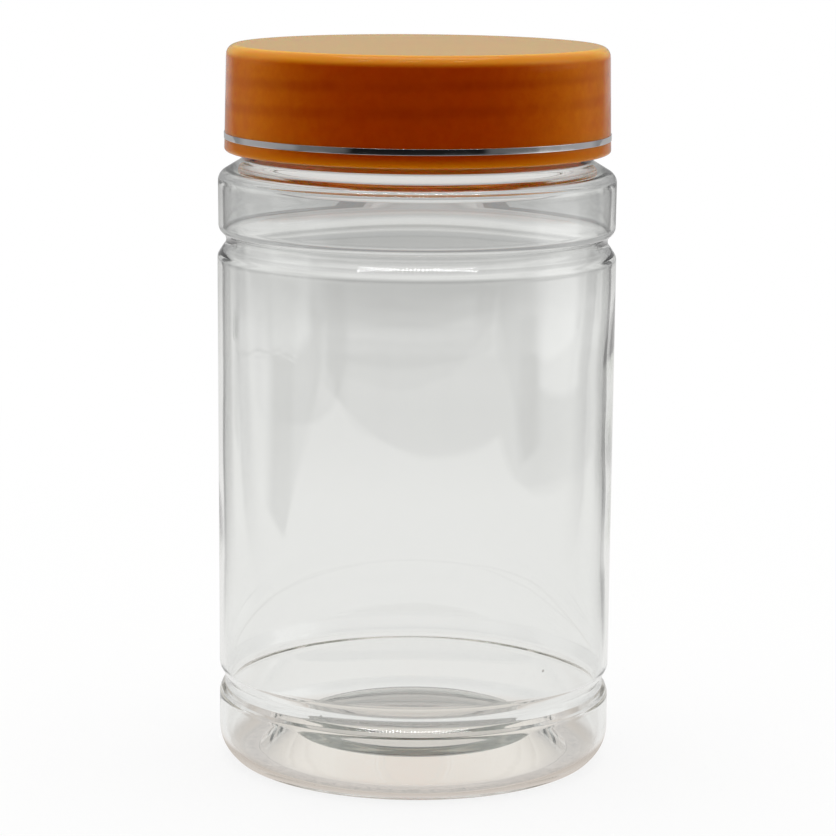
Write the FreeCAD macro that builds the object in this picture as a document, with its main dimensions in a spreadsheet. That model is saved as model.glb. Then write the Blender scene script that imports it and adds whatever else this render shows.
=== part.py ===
import FreeCAD, Part
import Sketcher
import math
import os

# Wide-mouth plastic jar with a screw cap. Millimetres, +Z up along the jar's axis,
# origin at the centre of the resting plane under the foot ring.

sizes = {
    # outside of the body
    "bodyRadius": 42.4,            # base band, just above the heel
    "shoulderHeight": 127.1,       # top of the upper band
    "heelCut": 3.6,                # 45 degree cut between wall and foot, before rounding
    "heelRounding": 8.0,
    "footRounding": 3.0,
    "panelFlare": 0.24,            # how much wider the panel is at its top
    "bandFlare": 0.1,              # how much wider the upper band is at its top
    # walls
    "wall": 1.4,
    "neckWall": 1.6,
    "floorWall": 1.6,
    "insideHeelCut": 4.2,
    "insideHeelRounding": 6.0,
    "insideFootRounding": 1.6,
    # the two grooves round the body
    "lowerGrooveHeight": 17.4,     # middle, above the resting plane
    "lowerGrooveDepth": 1.64,
    "lowerGrooveBelow": 3.15,
    "lowerGrooveAbove": 3.15,
    "upperGrooveDrop": 13.8,       # middle, below the shoulder
    "upperGrooveDepth": 2.28,
    "upperGrooveBelow": 3.5,
    "upperGrooveAbove": 2.2,
    "grooveFloorRounding": 1.8,
    "grooveEdgeRounding": 2.0,
    "insideRibRounding": 2.6,
    "insideRibEdgeRounding": 0.6,
    # pushed-up base with a thick pad in its middle
    "footWidth": 5.8,              # flat ring that the jar stands on
    "pushWidth": 7.5,              # sloping ring between the foot and the pad
    "pushHeight": 4.4,             # underside at the pad's edge
    "pushCrown": 0.8,              # further rise of the underside to the axis
    "troughWidth": 3.2,
    "padFootHeight": 6.1,          # inside, where the slope meets the pad
    "padReach": 0.8,               # how far the pad's foot reaches past the underside's edge
    "padThickness": 1.7,
    "padDraft": 1.2,
    "padCrown": 0.5,
    "padRounding": 0.6,
    "slopeRounding": 1.5,
    # shoulder and neck
    "shoulderStep": 5.0,           # from the body's radius to the neck's
    "shoulderRise": 3.1,
    "shoulderRounding": 2.0,
    "insideShoulderRounding": 0.7,
    "insideShoulderDrop": 0.8,
    "neckRootRounding": 1.0,
    "neckHeight": 22.7,
    "rimRounding": 0.6,
    # screw thread, shared by neck and cap
    "threadPitch": 5.4,
    "threadDepth": 1.6,
    "threadFoot": 3.0,             # width of a ridge at its foot
    "threadCrest": 1.4,            # width of a ridge at its crest
    "threadSink": 0.3,             # how far a ridge reaches into its own wall
    "threadClearance": 0.35,       # between a crest and the wall that faces it
    "threadDrop": 11.15,           # where the neck's ridge starts, below the rim
    "neckThreadRise": 8.1,
    "capThreadRise": 10.3,
    # cap
    "capWall": 1.83,
    "capRoof": 1.64,
    "capDraft": 0.48,              # how much narrower the cap is at its top
    "capGap": 1.8,                 # neck that shows under the cap
    "capTopRounding": 2.2,
    "capFootRounding": 0.7,
    "capInsideRounding": 1.0,
    # metallic ring round the cap
    "foilHeight": 3.4,             # middle of the ring, above the cap's foot
    "foilWidth": 1.25,
    "foilDepth": 0.3,
    "foilProud": 0.03,
    "foilFit": 0.02,               # gap between the ring and its channel
}

tolerance = 1e-4

# Places are sums of the names above. A place of "0" lies on the axis or the resting plane.
foot = "bodyRadius - heelCut"
footInside = foot + " - footWidth"
padEdge = footInside + " - pushWidth"
padFoot = padEdge + " + padReach"
insideWall = "bodyRadius - wall"
upperGroove = "shoulderHeight - upperGrooveDrop"
neck = "bodyRadius - shoulderStep"
neckFoot = "shoulderHeight + shoulderRise"
rim = neckFoot + " + neckHeight"
capFoot = neckFoot + " + capGap"
capTop = rim + " + capRoof"
capInside = neck + " + threadDepth + threadClearance"
capOutside = capInside + " + capWall"
foil = capFoot + " + foilHeight"


def makeSheet(document):
    sheet = document.addObject("Spreadsheet::Sheet", "Sizes")
    for row, (name, value) in enumerate(sizes.items(), start=1):
        sheet.set(f"A{row}", name)
        sheet.set(f"B{row}", str(value))
        sheet.setAlias(f"B{row}", name)
    return sheet


def worth(place):
    """The length that a place stands for, such as "bodyRadius - wall" or "threadPitch/2"."""
    total = 0.0
    sign = 1.0
    for word in place.split():
        if word in "+-":
            sign = 1.0 if word == "+" else -1.0
        elif word != "0":
            name, _, share = word.partition("/")
            total += sign * sizes[name] / float(share or 1)
    return total


def bound(place):
    """The same place as an expression on the sheet."""
    return " ".join(word if word in "+-" else "Sizes." + word for word in place.split())


def originPlane(body, role):
    return next(part for part in body.Origin.OriginFeatures if part.Role == role)


def makeSketch(body, name):
    """An empty sketch on the body's XZ plane: its X is the radius, its Y the height."""
    sketch = body.newObject("Sketcher::SketchObject", name)
    sketch.AttachmentSupport = [(originPlane(body, "XZ_Plane"), "")]
    sketch.MapMode = "FlatFace"
    return sketch


def domeArc(start, end):
    """An arc about a point on the axis, between a crown on the axis and an edge."""
    crown, edge = (start, end) if start.x == 0 else (end, start)
    rise = crown.y - edge.y
    radius = (edge.x ** 2 + rise ** 2) / (2 * rise)
    centre = FreeCAD.Vector(0, crown.y - radius, 0)
    circle = Part.Circle(centre, FreeCAD.Vector(0, 0, 1), radius)
    return Part.ArcOfCircle(circle, math.atan2(edge.y - centre.y, edge.x), math.pi / 2)


def fixCorner(sketch, point, name, place):
    """Ties a sketch point (geometry, end) to its distances from the axis and the base."""
    kinds = (("DistanceX", -2), ("DistanceY", -1))
    for (kind, axis), distance in zip(kinds, place):
        if distance == "0":
            sketch.addConstraint(Sketcher.Constraint("PointOnObject", *point, axis))
            continue
        label = name + kind[-1]
        size = Sketcher.Constraint(kind, -1, 1, *point, worth(distance))
        index = sketch.addConstraint(size)
        sketch.renameConstraint(index, label)
        sketch.setExpression("Constraints." + label, bound(distance))


def drawOutline(body, name, corners, domes=()):
    """A closed outline through named corners, each a place (radius, height).

    The side that starts at a corner named in domes is an arc, the others are straight.
    """
    sketch = makeSketch(body, name)
    names = list(corners)
    points = [FreeCAD.Vector(worth(r), worth(z), 0) for r, z in corners.values()]
    starts = []
    ends = []
    for index, (start, end) in enumerate(zip(points, points[1:] + points[:1])):
        isDome = names[index] in domes
        side = domeArc(start, end) if isDome else Part.LineSegment(start, end)
        sketch.addGeometry(side, False)
        # an arc runs from its edge to its crown, whichever way the outline goes
        backwards = isDome and start.x == 0
        starts.append((index, 2 if backwards else 1))
        ends.append((index, 1 if backwards else 2))
        if isDome:
            sketch.addConstraint(Sketcher.Constraint("PointOnObject", index, 3, -2))
    for end, start in zip(ends, starts[1:] + starts[:1]):
        sketch.addConstraint(Sketcher.Constraint("Coincident", *end, *start))
    for start, corner in zip(starts, names):
        fixCorner(sketch, start, corner, corners[corner])
    return sketch


def turn(body, kind, name, sketch):
    """A full turn of a sketch about the jar's axis, added or cut away."""
    feature = body.newObject("PartDesign::" + kind, name)
    feature.Profile = sketch
    feature.ReferenceAxis = (sketch, ["V_Axis"])
    feature.Angle = 360
    body.Document.recompute()
    return feature


def ringEdge(shape, place):
    """The name of the round edge at a corner of the outline."""
    radius, height = worth(place[0]), worth(place[1])
    for index, edge in enumerate(shape.Edges, start=1):
        if edge.Degenerated or not isinstance(edge.Curve, Part.Circle):
            continue
        offset = abs(edge.Curve.Radius - radius) + abs(edge.Curve.Center.z - height)
        if offset < tolerance:
            return f"Edge{index}"
    raise ValueError(f"no round edge at {place}")


def roundCorners(body, corners, rounding):
    """Rounds named corners; rounding maps the name of a size to the corners it rounds."""
    for size, names in rounding.items():
        fillet = body.newObject("PartDesign::Fillet", size[0].upper() + size[1:])
        base = fillet.BaseFeature or body.Tip
        fillet.Base = (base, [ringEdge(base.Shape, corners[name]) for name in names])
        fillet.setExpression("Radius", "Sizes." + size)
        body.Document.recompute()


def wind(body, name, corners, rise):
    """A screw ridge: the section in corners, wound about the axis over a rise."""
    sketch = drawOutline(body, name + "Section", corners)
    ridge = body.newObject("PartDesign::AdditiveHelix", name)
    ridge.Profile = sketch
    ridge.ReferenceAxis = (sketch, ["V_Axis"])
    ridge.Mode = "pitch-height-angle"
    ridge.setExpression("Pitch", "Sizes.threadPitch")
    ridge.setExpression("Height", "Sizes." + rise)
    body.Document.recompute()


def ridgeSection(wall, crest, sunk, middle):
    """A ridge's section: its foot sunk in the wall, its crest at the other radius."""
    return {
        "lowSunk": (sunk, middle + " - threadFoot/2"),
        "lowFoot": (wall, middle + " - threadFoot/2"),
        "lowCrest": (crest, middle + " - threadCrest/2"),
        "highCrest": (crest, middle + " + threadCrest/2"),
        "highFoot": (wall, middle + " + threadFoot/2"),
        "highSunk": (sunk, middle + " + threadFoot/2"),
    }


def jarOutside():
    """The outer skin, from the middle of the underside up to the rim."""
    low = "lowerGrooveHeight"
    return {
        "underCrown": ("0", "pushHeight + pushCrown"),
        "underEdge": (padEdge, "pushHeight"),
        "footInner": (footInside, "0"),
        "footOuter": (foot, "0"),
        "heel": ("bodyRadius", "heelCut"),
        "lowerGrooveFoot": ("bodyRadius", low + " - lowerGrooveBelow"),
        "lowerGrooveFloor": ("bodyRadius - lowerGrooveDepth", low),
        "lowerGrooveTop": ("bodyRadius", low + " + lowerGrooveAbove"),
        "upperGrooveFoot": ("bodyRadius + panelFlare", upperGroove + " - upperGrooveBelow"),
        "upperGrooveFloor": ("bodyRadius - upperGrooveDepth", upperGroove),
        "upperGrooveTop": ("bodyRadius", upperGroove + " + upperGrooveAbove"),
        "shoulder": ("bodyRadius + bandFlare", "shoulderHeight"),
        "neckRoot": (neck, neckFoot),
        "rimOuter": (neck, rim),
    }


def jarInside():
    """The inner skin, from the rim down to the crown of the pad."""
    low = "lowerGrooveHeight"
    shoulderInside = "shoulderHeight - insideShoulderDrop"
    return {
        "rimInner": (neck + " - neckWall", rim),
        "insideNeckRoot": (neck + " - neckWall", neckFoot + " - insideShoulderDrop"),
        "insideShoulder": (insideWall + " + bandFlare", shoulderInside),
        "upperRibTop": (insideWall, upperGroove + " + upperGrooveAbove"),
        "upperRib": (insideWall + " - upperGrooveDepth", upperGroove),
        "upperRibFoot": (insideWall + " + panelFlare", upperGroove + " - upperGrooveBelow"),
        "lowerRibTop": (insideWall, low + " + lowerGrooveAbove"),
        "lowerRib": (insideWall + " - lowerGrooveDepth", low),
        "lowerRibFoot": (insideWall, low + " - lowerGrooveBelow"),
        "insideHeel": (insideWall, "insideHeelCut"),
        "troughOuter": (insideWall + " - insideHeelCut + floorWall", "floorWall"),
        "troughInner": (footInside + " + padReach", "floorWall"),
        "padFoot": (padFoot, "padFootHeight"),
        "padEdge": (padFoot + " - padDraft", "padFootHeight + padThickness"),
        "padCrown": ("0", "padFootHeight + padThickness + padCrown"),
    }


def makeJar(document):
    body = document.addObject("PartDesign::Body", "Jar")
    body.Label = "jar"
    corners = {**jarOutside(), **jarInside()}
    sketch = drawOutline(body, "ShellOutline", corners, domes=("underCrown", "padEdge"))
    turn(body, "Revolution", "Shell", sketch)
    roundCorners(body, corners, {
        "heelRounding": ["heel"],
        "footRounding": ["footOuter"],
        "grooveFloorRounding": ["lowerGrooveFloor", "upperGrooveFloor"],
        "grooveEdgeRounding": [
            "lowerGrooveFoot", "lowerGrooveTop", "upperGrooveFoot", "upperGrooveTop",
        ],
        "shoulderRounding": ["shoulder"],
        "neckRootRounding": ["neckRoot", "insideNeckRoot"],
        "rimRounding": ["rimOuter", "rimInner"],
        "insideShoulderRounding": ["insideShoulder"],
        "insideRibRounding": ["upperRib", "lowerRib"],
        "insideRibEdgeRounding": [
            "upperRibTop", "upperRibFoot", "lowerRibTop", "lowerRibFoot",
        ],
        "insideHeelRounding": ["insideHeel"],
        "insideFootRounding": ["troughOuter"],
        "slopeRounding": ["troughInner", "footInner", "underEdge"],
        "padRounding": ["padFoot", "padEdge"],
    })
    section = ridgeSection(
        wall=neck,
        crest=neck + " + threadDepth",
        sunk=neck + " - threadSink",
        middle=rim + " - threadDrop",
    )
    wind(body, "NeckThread", section, "neckThreadRise")
    return body


def makeCap(document):
    body = document.addObject("PartDesign::Body", "Cap")
    body.Label = "cap"
    corners = {
        "roofInside": ("0", rim),
        "insideTop": (capInside, rim),
        "footInner": (capInside, capFoot),
        "footOuter": (capOutside, capFoot),
        "topEdge": (capOutside + " - capDraft", capTop),
        "topMiddle": ("0", capTop),
    }
    turn(body, "Revolution", "Shell", drawOutline(body, "ShellOutline", corners))
    roundCorners(body, corners, {
        "capTopRounding": ["topEdge"],
        "capFootRounding": ["footOuter"],
        "capInsideRounding": ["insideTop"],
    })
    section = ridgeSection(
        wall=capInside,
        crest=neck + " + threadClearance",
        sunk=capInside + " + threadSink",
        middle=rim + " - threadDrop - threadPitch/2",
    )
    wind(body, "CapThread", section, "capThreadRise")
    channel = {
        "lowInner": (capOutside + " - foilDepth - foilFit", foil + " - foilWidth/2 - foilFit"),
        "lowOuter": (capOutside + " + foilDepth", foil + " - foilWidth/2 - foilFit"),
        "highOuter": (capOutside + " + foilDepth", foil + " + foilWidth/2 + foilFit"),
        "highInner": (capOutside + " - foilDepth - foilFit", foil + " + foilWidth/2 + foilFit"),
    }
    turn(body, "Groove", "FoilChannel", drawOutline(body, "ChannelOutline", channel))
    return body


def makeFoilBand(document):
    body = document.addObject("PartDesign::Body", "FoilBand")
    body.Label = "foil_band"
    corners = {
        "lowInner": (capOutside + " - foilDepth", foil + " - foilWidth/2"),
        "lowOuter": (capOutside + " + foilProud", foil + " - foilWidth/2"),
        "highOuter": (capOutside + " + foilProud", foil + " + foilWidth/2"),
        "highInner": (capOutside + " - foilDepth", foil + " + foilWidth/2"),
    }
    turn(body, "Revolution", "Ring", drawOutline(body, "RingOutline", corners))
    return body


def checkDocument(document, bodies):
    for item in document.Objects:
        if "Invalid" in item.State or "Error" in item.State:
            raise RuntimeError(f"{item.Name} failed: {item.State}")
    for body in bodies:
        shape = body.Shape
        if shape.isNull() or not shape.isValid() or len(shape.Solids) != 1:
            raise RuntimeError(f"{body.Label} is not one sound solid")


def main():
    document = FreeCAD.newDocument("WideMouthJar")
    makeSheet(document)
    document.recompute()
    bodies = [makeJar(document), makeCap(document), makeFoilBand(document)]
    document.recompute()
    checkDocument(document, bodies)
    os.makedirs("parts", exist_ok=True)
    for body in bodies:
        body.Shape.exportStep(f"parts/{body.Label}.step")
        box = body.Shape.BoundBox
        print(
            f"{body.Label}: {body.Shape.Volume:.1f} mm3,"
            f" radius {box.XMax:.2f}, height {box.ZMin:.2f} to {box.ZMax:.2f}"
        )


main()
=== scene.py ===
import math

import bpy
import numpy as np
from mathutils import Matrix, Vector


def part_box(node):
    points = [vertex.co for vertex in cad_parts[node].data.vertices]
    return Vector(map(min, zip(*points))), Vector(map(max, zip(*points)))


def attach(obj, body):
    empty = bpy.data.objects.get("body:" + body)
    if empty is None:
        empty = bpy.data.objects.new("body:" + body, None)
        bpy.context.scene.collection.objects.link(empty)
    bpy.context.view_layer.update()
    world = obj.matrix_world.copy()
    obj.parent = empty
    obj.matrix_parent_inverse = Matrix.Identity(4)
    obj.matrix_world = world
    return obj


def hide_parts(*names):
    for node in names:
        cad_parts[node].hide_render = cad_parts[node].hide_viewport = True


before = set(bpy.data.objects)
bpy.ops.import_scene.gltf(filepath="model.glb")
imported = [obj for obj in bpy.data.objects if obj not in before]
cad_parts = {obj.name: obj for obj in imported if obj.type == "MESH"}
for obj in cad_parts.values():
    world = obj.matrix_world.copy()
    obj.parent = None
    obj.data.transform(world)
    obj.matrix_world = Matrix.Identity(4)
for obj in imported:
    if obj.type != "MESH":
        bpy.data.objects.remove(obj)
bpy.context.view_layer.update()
print("frame loaded")


class Wire:
    # a number socket; Python's operators on it add Math nodes to its tree
    def __init__(self, graph, socket):
        self.graph = graph
        self.socket = socket

    def math(self, operation, first, second=0.0):
        return self.graph.add("Math", {"operation": operation}, {0: first, 1: second})

    def __add__(self, other):
        return self.math("ADD", self, other)

    __radd__ = __add__

    def __sub__(self, other):
        return self.math("SUBTRACT", self, other)

    def __rsub__(self, other):
        return self.math("SUBTRACT", other, self)

    def __mul__(self, other):
        return self.math("MULTIPLY", self, other)

    __rmul__ = __mul__

    def __truediv__(self, other):
        return self.math("DIVIDE", self, other)

    def __rtruediv__(self, other):
        return self.math("DIVIDE", other, self)

    def __pow__(self, other):
        return self.math("POWER", self, other)

    def __rpow__(self, other):
        return self.math("POWER", other, self)


class Graph:
    # a node tree, emptied; add() makes any node from its type, its settings and its sockets
    def __init__(self, tree):
        self.tree = tree
        tree.nodes.clear()

    def add(self, kind, settings=None, inputs=None, output=0):
        node = self.tree.nodes.new("ShaderNode" + kind)
        for name, value in (settings or {}).items():
            if name == "stops":
                self.setStops(node.color_ramp, value)
            else:
                setattr(node, name, value)
        for name, value in (inputs or {}).items():
            if isinstance(value, Wire):
                self.tree.links.new(value.socket, node.inputs[name])
            else:
                node.inputs[name].default_value = value
        return Wire(self, node.outputs[output]) if node.outputs else node

    def setStops(self, ramp, stops):
        while len(ramp.elements) > 1:
            ramp.elements.remove(ramp.elements[-1])
        for index, (place, colour) in enumerate(stops):
            stop = ramp.elements[0] if index == 0 else ramp.elements.new(place)
            stop.position = place
            stop.color = (*colour, 1.0)

    def blend(self, factor, first, second):
        settings = {"data_type": "RGBA", "clamp_factor": True}
        return self.add("Mix", settings, {0: factor, 6: first, 7: second}, 2)

    def fade(self, value, low, high, fromLow=0.0, fromHigh=1.0):
        # smooth step of value between fromLow and fromHigh, onto low to high
        settings = {"interpolation_type": "SMOOTHSTEP"}
        places = {0: value, 1: fromLow, 2: fromHigh, 3: low, 4: high}
        return self.add("MapRange", settings, places)

    def axes(self, vector):
        return [self.add("SeparateXYZ", None, {0: vector}, index) for index in range(3)]

    def noise(self, vector, scale, detail, roughness=0.5):
        inputs = {"Vector": vector, "Scale": scale, "Detail": detail, "Roughness": roughness}
        return self.add("TexNoise", None, inputs)

    def size(self, value):
        return self.add("Math", {"operation": "ABSOLUTE"}, {0: value})

    def angle(self, opposite, adjacent):
        return self.add("Math", {"operation": "ARCTAN2"}, {0: opposite, 1: adjacent})

    def product(self, first, second):
        return self.add("VectorMath", {"operation": "MULTIPLY"}, {0: first, 1: second})

    def scaled(self, colour, factor):
        return self.add("VectorMath", {"operation": "SCALE"}, {0: colour, "Scale": factor})

    def ramp(self, place, stops):
        return self.add("ValToRGB", {"stops": stops}, {0: place})

    def ray(self, kind):
        return self.add("LightPath", None, None, "Is " + kind + " Ray")


def newMaterial(name):
    material = bpy.data.materials.new(name)
    material.use_nodes = True
    return material, Graph(material.node_tree)


def rgba(colour):
    return (*colour, 1.0)


def reachOf(node):
    # the node's box as (least reach from the axis, foot, top)
    low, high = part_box(node)
    return min(-low.x, -low.y, high.x, high.y), low.z, high.z


def fitted(corners, node):
    # Corners (radius, height, rounding) stretched to the node's box: the widest one
    # comes to its reach, and the lowest and highest to its foot and top.
    reach, foot, top = reachOf(node)
    radii, heights, rounding = np.array(corners, float).T
    share = (heights - heights.min()) / (heights.max() - heights.min())
    heights = foot + share * (top - foot)
    return np.stack([radii * reach / radii.max(), heights, rounding], -1)


def roundedPath(corners, arcSteps):
    # A path (radius, height) through corners, each (radius, height, rounding).
    # A rounded corner becomes an arc of arcSteps parts that starts and ends
    # rounding * tan(turn / 2) from the corner; straight runs get cosine spacing,
    # so that steps are short beside the arcs.
    points = np.array([corner[:2] for corner in corners], float)
    rounding = [corner[2] for corner in corners]
    runs = []
    start = points[0]
    for index in range(1, len(points)):
        corner = points[index]
        if index == len(points) - 1 or rounding[index] == 0:
            runs.append(straightRun(start, corner))
            start = corner
            continue
        before = (corner - points[index - 1]) / np.linalg.norm(corner - points[index - 1])
        after = (points[index + 1] - corner) / np.linalg.norm(points[index + 1] - corner)
        turn = math.atan2(before[0] * after[1] - before[1] * after[0], before @ after)
        reach = rounding[index] * math.tan(abs(turn) / 2)
        first = corner - before * reach
        runs.append(straightRun(start, first))
        side = math.copysign(1.0, turn) * np.array([-before[1], before[0]])
        centre = first + side * rounding[index]
        swing = np.linspace(0, turn, arcSteps + 1)[1:, None]
        spoke = first - centre
        across = np.array([-spoke[1], spoke[0]])
        arc = centre + spoke * np.cos(swing) + across * np.sin(swing)
        runs.append(arc[:-1])
        start = arc[-1]
    runs.append(points[-1:])
    return np.concatenate(runs)


def straightRun(start, end, firstStep=0.0004):
    # points from start up to but not including end, spaced as a cosine so that the
    # first and last steps are about firstStep long
    length = np.linalg.norm(end - start)
    if length < 1e-7:
        return np.empty((0, 2))
    steps = max(1, round(math.pi / math.acos(max(-1.0, 1 - 2 * firstStep / length))))
    share = (1 - np.cos(np.pi * np.arange(steps) / steps)) / 2
    return start + share[:, None] * (end - start)


def latheMesh(name, path, around, swell, closed=False):
    # A surface of revolution: point (turn, along) = path point at radius
    # path radius + swell(turn, height), turned about Z. Ends on the axis become poles;
    # a closed path joins its end to its start instead.
    turn = np.linspace(0, 2 * np.pi, around, endpoint=False)
    ringPath = path if closed else path[1:-1]
    radius = ringPath[:, :1] + swell(turn[None, :], ringPath)
    height = np.broadcast_to(ringPath[:, 1:], radius.shape)
    points = np.stack([radius * np.cos(turn), radius * np.sin(turn), height], -1)
    rings = len(ringPath)
    ids = np.arange(rings * around).reshape(rings, around)
    below = ids if closed else ids[:-1]
    above = np.roll(ids, -1, 0) if closed else ids[1:]
    quads = np.stack(
        [below, np.roll(below, -1, 1), np.roll(above, -1, 1), above], -1
    ).reshape(-1, 4)
    vertices = points.reshape(-1, 3)
    triangles = np.empty((0, 3), int)
    if not closed:
        poles = np.array([[0, 0, path[0, 1]], [0, 0, path[-1, 1]]])
        vertices = np.concatenate([vertices, poles])
        first, last = rings * around, rings * around + 1
        start = np.stack([np.roll(ids[0], -1), ids[0], np.full(around, first)], -1)
        end = np.stack([ids[-1], np.roll(ids[-1], -1), np.full(around, last)], -1)
        triangles = np.concatenate([start, end])
    mesh = bpy.data.meshes.new(name)
    mesh.from_pydata(vertices, [], [*quads.tolist(), *triangles.tolist()])
    mesh.shade_smooth()
    normals = gridNormals(points, closed)
    if not closed:
        downUp = [[0, 0, -1], [0, 0, 1]]
        normals = np.concatenate([normals, downUp])
    mesh.normals_split_custom_set_from_vertices(normals)
    return mesh


def gridNormals(points, closed):
    # normal = (step round the axis) x (step along the path), from central differences
    # that weigh each neighbour by the other one's distance
    lap = np.roll(points, -1, 1) - np.roll(points, 1, 1)
    if closed:
        padded = np.concatenate([points[-1:], points, points[:1]])
    else:
        before, after = 2 * points[:1] - points[1:2], 2 * points[-1:] - points[-2:-1]
        padded = np.concatenate([before, points, after])
    ahead = padded[2:] - padded[1:-1]
    behind = padded[1:-1] - padded[:-2]
    aheadLength = np.linalg.norm(ahead, axis=-1, keepdims=True)
    behindLength = np.linalg.norm(behind, axis=-1, keepdims=True)
    along = ahead / aheadLength * behindLength + behind / behindLength * aheadLength
    normal = np.cross(lap, along)
    normal /= np.linalg.norm(normal, axis=-1, keepdims=True)
    return normal.reshape(-1, 3)


def splitLong(path, longest):
    # divides each step of the path that is longer than longest, one value for each
    # step, into equal parts
    step = np.diff(path, axis=0)
    parts = np.maximum(1, np.ceil(np.linalg.norm(step, axis=1) / longest)).astype(int)
    which = np.repeat(np.arange(len(step)), parts)
    share = (np.arange(len(which)) - np.repeat(np.cumsum(parts) - parts, parts)) / parts[which]
    return np.concatenate([path[which] + share[:, None] * step[which], path[-1:]])


def crowned(path, edge, low, high, rise):
    # lifts the points inside radius edge, between heights low and high, by
    # rise * (1 - (radius / edge) squared) squared
    radius, height = path[:, 0], path[:, 1]
    inside = (radius < edge) & (height > low) & (height < high)
    lift = np.where(inside, rise * (1 - (radius / edge) ** 2) ** 2, 0)
    return np.stack([radius, height + lift], -1)


def smooth(value, low, high):
    # smooth step: 0 below low, 1 above high, share * share * (3 - 2 share) between
    share = np.clip((value - low) / (high - low), 0, 1)
    return share * share * (3 - 2 * share)


def waves(turn, height, seed, count, length):
    # Smooth unevenness of about -1 to 1: a sum of count cosines of
    # lobes * turn + 2 pi height / pitch + phase, with pitches from length to 3 length.
    draw = np.random.default_rng(seed)
    total = 0.0
    for wave in range(count):
        lobes = int(draw.integers(0, 6))
        pitch = length * draw.uniform(1, 3) * draw.choice([-1, 1])
        total = total + np.cos(lobes * turn + 2 * np.pi * height / pitch + draw.uniform(0, 6.28))
    return total / math.sqrt(count)


def addPiece(name, mesh, material, node):
    piece = bpy.data.objects.new(name, mesh)
    bpy.context.scene.collection.objects.link(piece)
    mesh.materials.append(material)
    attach(piece, "root")
    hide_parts(node)
    print(name, len(mesh.polygons), "faces")
    return piece


camera = {
    "back": 0.6752,          # from the jar's axis
    "height": 0.19419,       # above the floor
    "lookDown": 10.08,       # degrees
    "roll": 0.45,            # degrees, anticlockwise
    "lens": 136.6,           # on a 36 mm sensor
    "shift": 0.0029,
}


def makeCamera():
    data = bpy.data.cameras.new("studioCamera")
    data.lens = camera["lens"]
    data.sensor_width = 36.0
    data.shift_x = camera["shift"]
    data.clip_start = 0.01
    item = bpy.data.objects.new("studioCamera", data)
    item.location = (0, -camera["back"], camera["height"])
    item.rotation_mode = "ZXY"    # rolls about the line of sight, then tips up
    tip = math.radians(90 - camera["lookDown"])
    item.rotation_euler = (tip, 0, math.radians(camera["roll"]))
    bpy.context.scene.collection.objects.link(item)
    bpy.context.scene.camera = item


makeCamera()
print("camera placed")


thread = {
    "pitch": 0.0054,
    "foot": 0.003,
    "crest": 0.0014,
    "depth": 0.0016,
    "runOut": 0.06,          # of a lap, at each end
    "neckStart": 0.14175,    # middle of the ridge on the neck, and how far it climbs
    "neckRise": 0.0081,
    "capStart": 0.13905,
    "capRise": 0.0103,
}


def screwRidge(turn, height, start, rise):
    # How far a screw ridge stands out at (turn, height), from 0 to 1: a trapezoid
    # about the height start + pitch * laps, brought to nothing over each runOut.
    pitch = thread["pitch"]
    middle = start + pitch * turn / (2 * np.pi)
    laps = np.round((height - middle) / pitch)
    travel = turn / (2 * np.pi) + laps
    off = np.abs(height - middle - laps * pitch)
    flank = (thread["foot"] - thread["crest"]) / 2
    ridge = np.clip((thread["foot"] / 2 - off) / flank, 0, 1)
    left = rise / pitch - travel
    return ridge * smooth(np.minimum(travel, left), 0, thread["runOut"])


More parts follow.
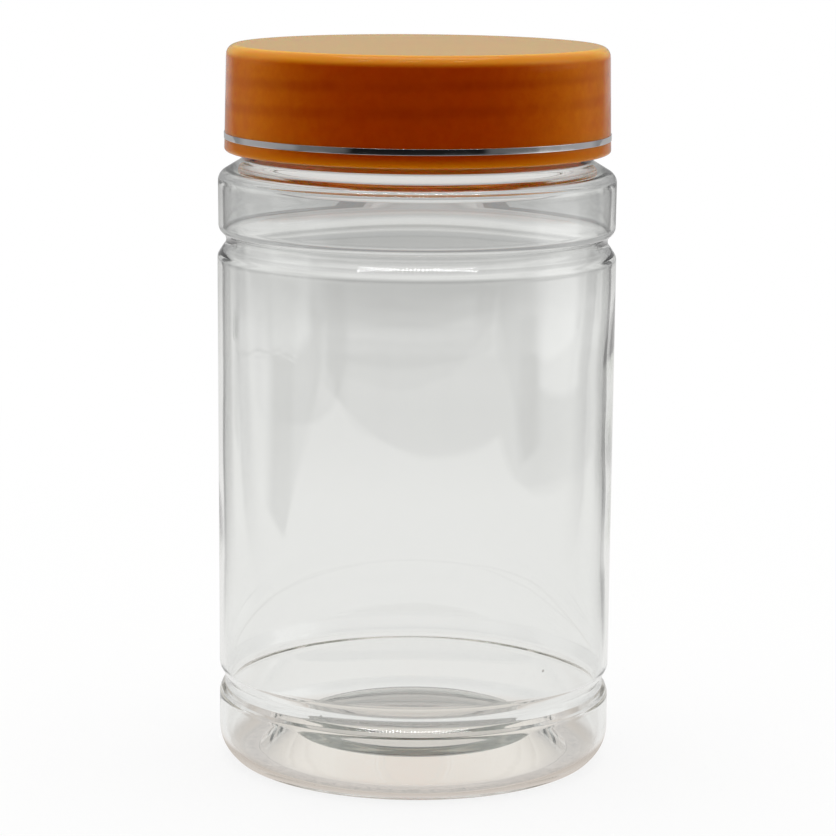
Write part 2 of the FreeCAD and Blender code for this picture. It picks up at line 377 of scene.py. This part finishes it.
jar = {
    "around": 200,
    "arcSteps": 7,
    "corners": [             # radius, height, rounding
        (0, 0.0058, 0),
        (0.0260, 0.0058, 0.0014),
        (0.0330, 0, 0.0015),
        (0.0388, 0, 0.0030),
        (0.0424, 0.0036, 0.0080),
        (0.0424, 0.01425, 0.0016),
        (0.04197, 0.01535, 0.0006),
        (0.04120, 0.01620, 0.0006),
        (0.04076, 0.0174, 0.0016),
        (0.0424, 0.02055, 0.0020),
        (0.04263, 0.1098, 0.0020),
        (0.04148, 0.1116, 0.0060),
        (0.04012, 0.1133, 0.0018),
        (0.0424, 0.1155, 0.0020),
        (0.0425, 0.1271, 0.0025),
        (0.0374, 0.1302, 0.0010),
        (0.0374, 0.1529, 0.0006),
        (0.0358, 0.1529, 0.0006),
        (0.0358, 0.1318, 0.0060),
        (0.03714, 0.12808, 0.0030),
        (0.0403, 0.12697, 0.0010),
        (0.0411, 0.1261, 0.0008),
        (0.0410, 0.1155, 0.0006),
        (0.03872, 0.1133, 0.0026),
        (0.04124, 0.1098, 0.0034),
        (0.0410, 0.02055, 0.0006),
        (0.03936, 0.0174, 0.0026),
        (0.0410, 0.01425, 0.0006),
        (0.0410, 0.0042, 0.0060),
        (0.0384, 0.0016, 0.0016),
        (0.0338, 0.0016, 0.0015),
        (0.0268, 0.0066, 0.0012),
        (0.0250, 0.0078, 0.0020),
        (0, 0.0078, 0),
    ],
    "ridgeStep": 0.0005,     # longest step of the path on the neck, and elsewhere
    "pathStep": 0.0025,
    "neckRadius": 0.037,     # the ridge lies outside this, between these heights
    "neckHeights": (0.131, 0.1525),
    "crownUnder": (0.0260, 0.0057, 0.0059, 0.0005),    # radius, heights between, rise
    "crownInside": (0.0250, 0.0077, 0.009, 0.0003),
    "innerWall": (0.008, 0.127),
    "thickSide": 0.0004,     # extra wall towards +X
    "thickStart": (0.022, 0.045),
    "thickEnd": (0.080, 0.107),
    "unevenWall": 0.00002,
    "unevenStart": (0.010, 0.014),
    "tint": (0.975, 0.98, 0.975),
    "index": 1.575,
    "specks": [(-0.0191, -0.0360, 0.0174), (0.0090, -0.0398, 0.0183), (0.0270, -0.0327, 0.0266)],
    "speckSize": 0.0005,
    "speck": (0.10, 0.08, 0.06),
    "relief": 0.0005,
    "scuffed": 0.035,        # roughness of the scuffed spots
    "ripple": 0.0926,        # height of a wavy crease towards -X
    "rippleSwing": 0.006,
    "rippleWidth": 0.0009,
    "rippleDepth": 4.0,
    "rippleStart": (-1.15, -1.0),
    "rippleEnd": (-0.75, -0.6),
    "haze": 13.0,
    "hazeColour": (0.30, 0.36, 0.24),
}


def jarMesh():
    path = roundedPath(fitted(jar["corners"], "jar"), jar["arcSteps"])
    path = crowned(path, *jar["crownUnder"])
    path = crowned(path, *jar["crownInside"])
    neckFoot, neckTop = jar["neckHeights"]
    onNeck = (path[:-1, 0] > jar["neckRadius"]) & (path[:-1, 1] > neckFoot)
    path = splitLong(path, np.where(onNeck, jar["ridgeStep"], jar["pathStep"]))
    rim = len(path) - 1 - int(np.argmax(path[::-1, 1]))

    def swell(turn, rings):
        radius, height = rings[:, :1], rings[:, 1:]
        low, high = jar["innerWall"]
        inner = (np.arange(len(rings))[:, None] > rim) & (height > low) & (height < high)
        wall = inner * smooth(height, *jar["thickStart"]) * (1 - smooth(height, *jar["thickEnd"]))
        side = np.clip(np.cos(turn), 0, 1) ** 2
        thick = wall * side * (1 + 0.15 * waves(turn, height, 5, 4, 0.02))
        uneven = inner * smooth(height, *jar["unevenStart"]) * waves(turn, height, 11, 12, 0.02)
        neck = (radius > jar["neckRadius"]) & (height > neckFoot) & (height < neckTop) & ~inner
        ridge = screwRidge(turn, height, thread["neckStart"], thread["neckRise"])
        ridge = neck * ridge * thread["depth"]
        return ridge - thick * jar["thickSide"] + uneven * jar["unevenWall"]

    return latheMesh("clearJar", path, jar["around"], swell)


def jarMaterial():
    material, graph = newMaterial("clearPlastic")
    place = graph.add("TexCoord", None, None, "Object")
    bumps = graph.noise(place, 60.0, 2.0)
    x, y, height = graph.axes(place)
    turn = graph.angle(x, y * -1)
    swing = graph.noise(place, 130.0, 0.0) * jar["rippleSwing"]
    crease = graph.size(height - jar["ripple"] - swing + jar["rippleSwing"] / 2)
    crease = graph.fade(crease, 1.0, 0.0, 0.0, jar["rippleWidth"])
    crease = crease * graph.fade(turn, 0.0, 1.0, *jar["rippleStart"])
    crease = crease * graph.fade(turn, 1.0, 0.0, *jar["rippleEnd"])
    normal = graph.add("Bump", None, {
        "Strength": 0.03,
        "Distance": jar["relief"],
        "Height": bumps + crease * jar["rippleDepth"],
    }, "Normal")
    roughness = graph.fade(graph.noise(place, 35.0, 3.0), 0.0, jar["scuffed"], 0.5, 0.8)
    speck = 0.0
    for spot in jar["specks"]:
        off = graph.add("VectorMath", {"operation": "DISTANCE"}, {0: place, 1: spot}, "Value")
        speck = graph.fade(off, 1.0, 0.0, 0.0, jar["speckSize"]) + speck
    surface = graph.add("BsdfPrincipled", None, {
        "Base Color": graph.blend(speck, rgba(jar["tint"]), rgba(jar["speck"])),
        "Roughness": roughness,
        "IOR": jar["index"],
        "Transmission Weight": 1.0,
        "Normal": normal,
    })
    inside = graph.add("VolumeAbsorption", None, {
        "Color": rgba(jar["hazeColour"]),
        "Density": jar["haze"],
    })
    graph.add("OutputMaterial", None, {"Surface": surface, "Volume": inside})
    return material


addPiece("clearJar", jarMesh(), jarMaterial(), "jar")


cap = {
    "around": 216,
    "arcSteps": 8,
    "corners": [
        (0, 0.1529, 0),
        (0.03935, 0.1529, 0.0010),
        (0.03935, 0.1320, 0.0006),
        (0.04118, 0.1320, 0.0007),
        (0.041108, 0.134755, 0.0001),
        (0.04086, 0.134755, 0.00005),
        (0.04086, 0.136045, 0.00005),
        (0.041081, 0.136045, 0.0001),
        (0.04070, 0.15454, 0.0022),
        (0, 0.15454, 0),
    ],
    "ridgeStep": 0.0005,     # longest step of the path inside the wall, and elsewhere
    "pathStep": 0.002,
    "boreWall": (0.039, 0.0395),
    "boreTop": 0.152,
    # painted light: side, top and foot are one orange plastic; the top and the foot rim are given lighter,
    # yellower copies of the side's colour, standing for the light that falls on them
    "side": (0.335, 0.032, 0.0004),
    "sideSheen": (0.50, 0.118, 0.001),    # painted sheen: the side lighter where it is seen at a slant
    "foot": (0.50, 0.16, 0.001),
    "top": (0.66, 0.25, 0.007),
    "topEdge": (0.98, 0.44, 0.03),
    "threadShade": (0.82, 0.70, 0.8),         # painted shade of the thread inside the wall, times the side's colour
    "cloud": (1.15, 1.35, 2.0),
    # painted light: the cap's inside, a lighter copy of its orange, standing for light through the wall
    "under": (0.95, 0.50, 0.06),
    "litTopFade": (0.1520, 0.1535),         # heights between which the colours change
    "litFootFade": (0.1322, 0.1342),
    "threadShadeFoot": (0.1385, 0.1415),
    "threadShadeTop": (0.1485, 0.1510),
    "threadShadeWidth": (0.04, 0.34),         # laps off the middle of the ridge behind
    "boreFade": (0.0396, 0.0402),        # radii
    "roofFade": (0.1533, 0.1539),
    "rimFoot": (0.1524, 0.1530),
    "rimTop": (0.1541, 0.1545),
    "rimCoat": 0.25,
    "sheen": (1.0, 0.62, 0.18),          # tint of the reflection seen face on
    "glow": 0.9,
    "glowDepth": 0.0035,
    "grain": 0.0002,
}


def capMesh():
    path = roundedPath(fitted(cap["corners"], "cap"), cap["arcSteps"])
    low, high = cap["boreWall"]
    inWall = (path[:-1, 0] < high) & (path[:-1, 0] > low)
    path = splitLong(path, np.where(inWall, cap["ridgeStep"], cap["pathStep"]))

    def swell(turn, rings):
        radius, height = rings[:, :1], rings[:, 1:]
        inner = (radius < high) & (radius > low) & (height < cap["boreTop"])
        ridge = screwRidge(turn, height, thread["capStart"], thread["capRise"])
        return inner * ridge * -thread["depth"]

    return latheMesh("orangeCap", path, cap["around"], swell)


def capMaterial():
    material, graph = newMaterial("capPlastic")
    place = graph.add("TexCoord", None, None, "Object")
    x, y, height = graph.axes(place)
    # painted light: the top and the foot rim take their lighter, lit copies of the side's orange
    litTopShare = graph.fade(height, 0.0, 1.0, *cap["litTopFade"])
    litFootShare = graph.fade(height, 1.0, 0.0, *cap["litFootFade"])
    turn = graph.angle(y, x) / (2 * math.pi)
    laps = (height - thread["capStart"]) / thread["pitch"] - turn
    offRidge = graph.add("Math", {"operation": "PINGPONG"}, {0: laps, 1: 0.5})
    # painted shade: the side darker in bands along the ridge of the thread behind the wall
    threadShade = graph.fade(offRidge, 1.0, 0.0, *cap["threadShadeWidth"])
    threadShade = threadShade * graph.fade(height, 0.0, 1.0, *cap["threadShadeFoot"])
    threadShade = threadShade * graph.fade(height, 1.0, 0.0, *cap["threadShadeTop"])
    threadShade = threadShade * graph.fade(graph.noise(place, 55.0, 3.0), 0.25, 1.0, 0.35, 0.65)
    # painted sheen: the side and the top lighten towards where they are seen at a slant
    sheenFacing = graph.add("LayerWeight", None, {"Blend": 0.5}, "Facing")
    side = graph.blend(graph.fade(sheenFacing, 0.0, 1.0, 0.0, 0.52), rgba(cap["side"]), rgba(cap["sideSheen"]))
    side = graph.product(side, graph.blend(threadShade, (1, 1, 1, 1), rgba(cap["threadShade"])))
    cloud = graph.fade(graph.noise(place, 420.0, 3.0, 0.7), 0.0, 0.5, 0.3, 0.7)
    side = graph.product(side, graph.blend(cloud, (1, 1, 1, 1), rgba(cap["cloud"])))
    top = graph.blend(graph.fade(sheenFacing, 0.0, 1.0, 0.55, 0.90), rgba(cap["top"]), rgba(cap["topEdge"]))
    colour = graph.blend(litTopShare, side, top)
    colour = graph.blend(litFootShare, colour, rgba(cap["foot"]))
    away = (x * x + y * y) ** 0.5
    # painted light: the inside of the cap takes that lighter orange
    inside = graph.fade(away, 1.0, 0.0, *cap["boreFade"]) * graph.fade(height, 1.0, 0.0, *cap["roofFade"])
    colour = graph.blend(inside, colour, rgba(cap["under"]))
    normal = graph.add("Bump", None, {
        "Strength": 0.05,
        "Distance": cap["grain"],
        "Height": graph.noise(place, 900.0, 2.0),
    }, "Normal")
    rim = graph.fade(height, 0.0, 1.0, *cap["rimFoot"]) * graph.fade(height, 1.0, 0.0, *cap["rimTop"])
    surface = graph.add("BsdfPrincipled", None, {
        "Base Color": colour,
        "Roughness": graph.fade(graph.noise(place, 120.0, 3.0), 0.04, 0.06, 0.35, 0.7),
        "IOR": 1.38,
        "Specular IOR Level": 0.15,
        "Specular Tint": rgba(cap["sheen"]),
        "Coat Weight": rim * cap["rimCoat"],
        "Coat IOR": 1.5,
        "Coat Roughness": 0.02,
        "Subsurface Weight": cap["glow"],
        "Subsurface Radius": (1.0, 0.5, 0.12),
        "Subsurface Scale": cap["glowDepth"],
        "Normal": normal,
    })
    graph.add("OutputMaterial", None, {"Surface": surface})
    return material


addPiece("orangeCap", capMesh(), capMaterial(), "cap")


band = {
    "around": 216,
    "across": 24,
    "thickness": 0.00033,
    "squareness": 0.06,      # power of the sine and cosine: 1 is round, 0 is square
    "silver": (0.80, 0.79, 0.80),
}


def bandMesh():
    # section: middle + half size * sign(cos) * |cos| to the power squareness, and
    # the same with the sine for the height
    angle = np.linspace(0, 2 * np.pi, band["across"], endpoint=False) + 0.1
    cosine, sine = np.cos(angle), np.sin(angle)
    out = np.sign(cosine) * np.abs(cosine) ** band["squareness"]
    rise = np.sign(sine) * np.abs(sine) ** band["squareness"]
    reach, foot, top = reachOf("foil_band")
    radius = reach - band["thickness"] / 2 + out * band["thickness"] / 2
    height = (top + foot) / 2 + rise * (top - foot) / 2
    path = np.stack([radius, height], -1)

    def swell(turn, rings):
        return 0 * turn * rings[:, :1]

    return latheMesh("silverBand", path, band["around"], swell, closed=True)


def bandMaterial():
    material, graph = newMaterial("silverFoil")
    place = graph.add("TexCoord", None, None, "Object")
    surface = graph.add("BsdfPrincipled", None, {
        "Base Color": rgba(band["silver"]),
        "Metallic": 1.0,
        "Roughness": graph.fade(graph.noise(place, 240.0, 3.0), 0.05, 0.12, 0.35, 0.75),
    })
    graph.add("OutputMaterial", None, {"Surface": surface})
    return material


addPiece("silverBand", bandMesh(), bandMaterial(), "foil_band")


studio = {
    "reach": 6.0,
    "floorColour": (0.88, 0.88, 0.87),
    "shadowShare": (0.86, 1.0),          # share of plain white near the jar and away from it
    "shadowFade": (0.05, 0.45),
    "behindScale": 0.75,                 # ramp places in a metre behind the jar
    # painted shade: darker farther behind the jar, standing for light falling off
    "behindFalloffShade": [
        (0.0, 0.855), (0.20, 0.845), (0.28, 0.80), (0.325, 0.79), (0.375, 0.80), (0.43, 0.77),
        (0.49, 0.71), (0.56, 0.64), (0.64, 0.66), (0.73, 0.56), (0.84, 0.46),
    ],
    "contactScale": 10,                  # ramp places in a metre from the jar's axis
    # painted shadow: the jar's shadow, darkest round its foot and warm beneath it, seen by mirrored and bent
    # rays alone
    "jarShadowTones": [
        (0.0, (1.0, 0.94, 0.87)),
        (0.29, (0.98, 0.915, 0.845)),
        (0.33, (0.86, 0.80, 0.755)),
        (0.365, (0.82, 0.76, 0.715)),
        (0.40, (0.70, 0.625, 0.56)),
        (0.43, (0.66, 0.60, 0.55)),
        (0.46, (0.93, 0.89, 0.86)),
        (0.52, (1.0, 0.995, 0.985)),
    ],
    "wedgeInner": (0.475, 0.042, 0.050), # slope and soft edges of the painted shade strips behind, seen through the wall alone
    "wedgeOuter": (0.90, 0.02, 0.12),
    "wedgeStart": (0.05, 0.25),
    "wedgeDark": 0.85,
    "liftTone": 0.6,                     # what is far off is lifted towards this tone
    "liftFade": (0.95, 1.25),
}


def floorMesh():
    size = studio["reach"]
    corners = [(-size, -size, 0), (size, -size, 0), (size, size, 0), (-size, size, 0)]
    mesh = bpy.data.meshes.new("floor")
    mesh.from_pydata(corners, [], [(0, 1, 2, 3)])
    return mesh


def grey(tone):
    return (tone, tone, tone)


def toneStops(pairs):
    # ramp stops from (turn, tone), with turns of -1 to 1 as places of 0 to 1
    return [((turn + 1) / 2, grey(tone)) for turn, tone in pairs]


def turnFromFront(graph, x, y):
    # 0 towards the camera's side, 1 or -1 straight behind, as a ramp's place
    turn = graph.angle(x, y * -1) / math.pi
    return (turn + 1) / 2


room = {
    # painted reflections: tones by turn, in rings from near to far, seen by mirrored and bent rays alone
    "rings": [
        [
            (-1.0, 0.85), (-0.72, 0.85), (-0.69, 0.50), (-0.65, 0.90), (-0.52, 0.90),
            (-0.49, 0.30), (-0.48, 0.05), (-0.41, 0.05), (-0.395, 0.40), (-0.355, 0.50),
            (-0.31, 0.30), (-0.29, 0.60), (-0.275, 0.0), (-0.225, 0.0), (-0.205, 0.22),
            (0.22, 0.22), (0.27, 0.25), (0.33, 0.30), (0.39, 0.15), (0.44, 0.30),
            (0.52, 0.55), (0.62, 0.80), (0.66, 0.55), (0.70, 0.80), (1.0, 0.85),
        ],
        [
            (-1.0, 0.85), (-0.735, 0.85), (-0.72, 0.10), (-0.69, 0.10), (-0.67, 0.90),
            (-0.60, 1.0), (-0.53, 0.90), (-0.49, 0.30), (-0.41, 0.25), (-0.39, 0.60),
            (-0.34, 0.60), (-0.31, 0.45), (-0.29, 0.90), (-0.28, 0.35), (-0.225, 0.35),
            (-0.205, 0.95), (0.0, 0.75), (0.24, 0.85), (0.28, 0.30), (0.32, 0.40),
            (0.36, 0.90), (0.40, 1.0), (0.56, 1.0), (0.62, 0.90), (0.70, 0.80), (1.0, 0.85),
        ],
        [
            (-1.0, 0.34), (-0.73, 0.40), (-0.68, 0.60), (-0.60, 0.80), (-0.53, 0.60),
            (-0.49, 0.20), (-0.41, 0.02), (-0.38, 0.25), (-0.31, 0.30), (-0.28, 0.12),
            (-0.23, 0.02), (0.0, 0.04), (0.23, 0.12), (0.27, 0.06), (0.32, 0.35),
            (0.38, 0.90), (0.41, 1.0), (0.57, 1.0), (0.62, 0.75), (0.72, 0.40), (1.0, 0.34),
        ],
        [
            (-1.0, 0.45), (-0.975, 0.45), (-0.93, 0.62), (-0.83, 0.60), (-0.79, 0.27),
            (-0.73, 0.27), (-0.68, 0.42), (-0.43, 0.30), (-0.40, 0.16), (-0.24, 0.11),
            (-0.21, 0.01), (0.21, 0.01), (0.24, 0.11), (0.40, 0.16), (0.43, 0.30),
            (0.68, 0.42), (0.73, 0.27), (0.79, 0.27), (0.83, 0.60), (0.93, 0.62),
            (0.975, 0.45), (1.0, 0.45),
        ],
    ],
    "borders": [(0.61, 0.635), (0.665, 0.72), (0.95, 1.20)],
    "panelTone": 1.5,        # a painted bright panel across the third border, seen by mirrored and bent rays alone
    "panelSide": (0.50, 0.53),
    "panelStart": (0.69, 0.71),
    "panelEnd": (0.78, 0.80),
}


def paintedRoomTone(graph, x, y):
    # painted reflections of what stands round the table: each ring blends into the next at its border,
    # with the painted bright panel laid over all but the last
    turn = turnFromFront(graph, x, y)
    away = (x * x + y * y) ** 0.5
    tones = [graph.ramp(turn, toneStops(ring)) for ring in room["rings"]]
    tone = tones[0]
    for ring, border in zip(tones[1:-1], room["borders"][:-1]):
        tone = graph.blend(graph.fade(away, 0.0, 1.0, *border), tone, ring)
    panel = graph.fade(x, 0.0, 1.0, *room["panelSide"])
    panel = panel * graph.fade(turn, 0.0, 1.0, *room["panelStart"])
    panel = panel * graph.fade(turn, 1.0, 0.0, *room["panelEnd"])
    tone = graph.blend(panel, tone, rgba(grey(room["panelTone"])))
    return graph.blend(graph.fade(away, 0.0, 1.0, *room["borders"][-1]), tone, tones[-1])


table = {
    # where its edge is: turn from the camera's side in half turns, reach from the axis
    "left": [(-0.80, 2.0), (-0.70, 0.44), (-0.67, 0.39), (-0.424, 0.278)],
    "right": [
        (0.294, 0.40), (0.32, 0.37), (0.37, 0.347), (0.45, 0.344), (0.60, 0.36), (0.66, 0.387),
        (0.69, 0.44), (0.80, 2.0),
    ],
    "frontTurns": (-0.30, 0.265),        # a parabola between these, nearest at nearest
    "nearest": (0.075, 0.416),
    "bend": 1.03,
    "frontPoints": 10,
    "longest": 2.0,
    "softness": 0.008,                   # half the width of the edge
}


def tableStops():
    # the table's reach by turn, as a share of the longest: straight between the points
    # at the sides, and nearest reach + bend * (turn - its turn) squared in front
    middle, nearest = table["nearest"]
    turns = np.linspace(*table["frontTurns"], table["frontPoints"])
    front = [(turn, nearest + table["bend"] * (turn - middle) ** 2) for turn in turns.tolist()]
    outline = table["left"] + front + table["right"]
    return toneStops([(turn, reach / table["longest"]) for turn, reach in outline])


def floorMaterial():
    material, graph = newMaterial("studioFloor")
    place = graph.add("TexCoord", None, None, "Object")
    x, y, height = graph.axes(place)
    away = (x * x + y * y) ** 0.5
    # painted shade and shadow, seen by mirrored and bent rays alone: the floor darkens farther behind the
    # jar, and the jar's shadow lies round its foot
    behind = [(spot, grey(tone)) for spot, tone in studio["behindFalloffShade"]]
    behind = graph.ramp(y * studio["behindScale"], behind)
    jarShadow = graph.ramp(away * studio["contactScale"], studio["jarShadowTones"])
    reach = graph.ramp(turnFromFront(graph, x, y), tableStops())
    soft = table["softness"]
    onTable = graph.fade(away - reach * table["longest"], 1.0, 0.0, -soft, soft)
    seen = graph.blend(onTable, paintedRoomTone(graph, x, y), graph.scaled(jarShadow, behind))
    mirrored = graph.add("Emission", None, {"Color": seen, "Strength": 1.0})
    side = graph.size(x)
    slope, inner, outer = studio["wedgeInner"]
    # painted shade: darker strips on the floor behind, seen through the wall alone
    shadeWedge = graph.fade(side - y * slope, 0.0, studio["wedgeDark"], inner, outer)
    slope, inner, outer = studio["wedgeOuter"]
    shadeWedge = shadeWedge * graph.fade(side - y * slope, 1.0, 0.0, inner, outer)
    shadeWedge = shadeWedge * graph.fade(y, 0.0, 1.0, *studio["wedgeStart"])
    lift = graph.fade(away, 0.0, 0.6, *studio["liftFade"])
    lifted = graph.blend(lift, seen, rgba(grey(studio["liftTone"])))
    through = graph.add("Emission", None, {"Color": graph.scaled(lifted, 1 - shadeWedge), "Strength": 1.0})
    plain = graph.add("BsdfDiffuse", None, {"Color": rgba(studio["floorColour"])})
    white = graph.add("Emission", None, {"Color": (1, 1, 1, 1), "Strength": 1.0})
    share = graph.fade(away, *studio["shadowShare"], *studio["shadowFade"])
    shown = graph.add("MixShader", None, {0: share, 1: plain, 2: white})
    other = graph.add("MixShader", None, {0: graph.ray("Glossy"), 1: plain, 2: mirrored})
    other = graph.add("MixShader", None, {0: graph.ray("Transmission"), 1: other, 2: through})
    both = graph.add("MixShader", None, {0: graph.ray("Camera"), 1: other, 2: shown})
    graph.add("OutputMaterial", None, {"Surface": both})
    return material


def makeFloor():
    mesh = floorMesh()
    item = bpy.data.objects.new("floor", mesh)
    bpy.context.scene.collection.objects.link(item)
    mesh.materials.append(floorMaterial())


world = {
    "overhead": (0.30, 0.80),            # heights of the direction between which it turns white
    "light": 0.95,
    "frontLight": 0.22,      # least light, from the camera's side low down
    "frontFade": (-0.85, 0.0),
    "lightFade": (0.45, 0.85),
}


def makeWorld():
    item = bpy.data.worlds.new("studioRoom")
    item.use_nodes = True
    bpy.context.scene.world = item
    graph = Graph(item.node_tree)
    direction = graph.add("TexCoord", None, None, "Generated")
    x, y, z = graph.axes(direction)
    overhead = graph.fade(z, 0.0, 1.0, *world["overhead"])
    seen = graph.blend(overhead, paintedRoomTone(graph, x, y), (1.0, 1.0, 1.0, 1.0))
    mirrored = graph.add("Background", None, {"Color": seen, "Strength": 1.0})
    level = (x * x + y * y) ** 0.5 + 0.001    # never 0
    light = graph.fade(y / level, world["frontLight"], 1.0, *world["frontFade"]) * world["light"]
    light = graph.fade(z, light, world["light"], *world["lightFade"])
    soft = graph.add("Background", None, {"Color": (1, 1, 1, 1), "Strength": light})
    white = graph.add("Background", None, {"Color": (1, 1, 1, 1), "Strength": 1.0})
    bent = graph.add("Math", {"operation": "MAXIMUM"}, {0: graph.ray("Glossy"), 1: graph.ray("Transmission")})
    other = graph.add("MixShader", None, {0: bent, 1: soft, 2: mirrored})
    both = graph.add("MixShader", None, {0: graph.ray("Camera"), 1: other, 2: white})
    graph.add("OutputWorld", None, {"Surface": both})


lamp = {
    "size": (0.9, 0.6),
    "power": 4.5,
    "place": (0, 0.1, 1.2),
    "tilt": 5,               # degrees
}


def makeLamp():
    data = bpy.data.lights.new("softBox", "AREA")
    data.shape = "RECTANGLE"
    data.size, data.size_y = lamp["size"]
    data.energy = lamp["power"]
    item = bpy.data.objects.new("softBox", data)
    item.location = lamp["place"]
    item.rotation_euler = (math.radians(lamp["tilt"]), 0, 0)
    item.visible_transmission = False
    bpy.context.scene.collection.objects.link(item)


dots = {
    "count": 34,             # small lamps along a strip over the table
    "spread": 0.56,
    "halfSize": (0.002, 0.026),
    "place": (0.0, -0.27, 0.62),
    "glow": 30.0,
}


def makeDots():
    # a row of small lamps, seen only in reflections and through the wall: rectangles
    # with corners at place + (-+ width, -+ depth), their places spread evenly along x
    count = dots["count"]
    width, depth = dots["halfSize"]
    ring = np.array([(-width, -depth, 0), (-width, depth, 0), (width, depth, 0), (width, -depth, 0)])
    along = np.linspace(-0.5, 0.5, count) * dots["spread"]
    places = np.array(dots["place"]) + np.stack([along, 0 * along, 0 * along], -1)
    corners = (places[:, None] + ring).reshape(-1, 3)
    faces = np.arange(count * 4).reshape(count, 4)
    mesh = bpy.data.meshes.new("lampDots")
    mesh.from_pydata(corners, [], faces.tolist())
    material, graph = newMaterial("lampDots")
    glow = graph.add("Emission", None, {"Color": (1, 1, 1, 1), "Strength": dots["glow"]})
    clear = graph.add("BsdfTransparent")
    seen = graph.add("Math", {"operation": "MAXIMUM"}, {0: graph.ray("Glossy"), 1: graph.ray("Transmission")})
    surface = graph.add("MixShader", None, {0: seen, 1: clear, 2: glow})
    graph.add("OutputMaterial", None, {"Surface": surface})
    material.cycles.emission_sampling = "NONE"
    item = bpy.data.objects.new("lampDots", mesh)
    item.visible_diffuse = False
    item.visible_shadow = False
    bpy.context.scene.collection.objects.link(item)
    mesh.materials.append(material)


makeFloor()
makeWorld()
makeLamp()
makeDots()
paths = bpy.context.scene.cycles
paths.max_bounces = 32       # the clear wall mirrors light many times inside itself
paths.glossy_bounces = 24
paths.transmission_bounces = 32
bpy.context.scene.view_settings.view_transform = "Standard"
print("studio set")
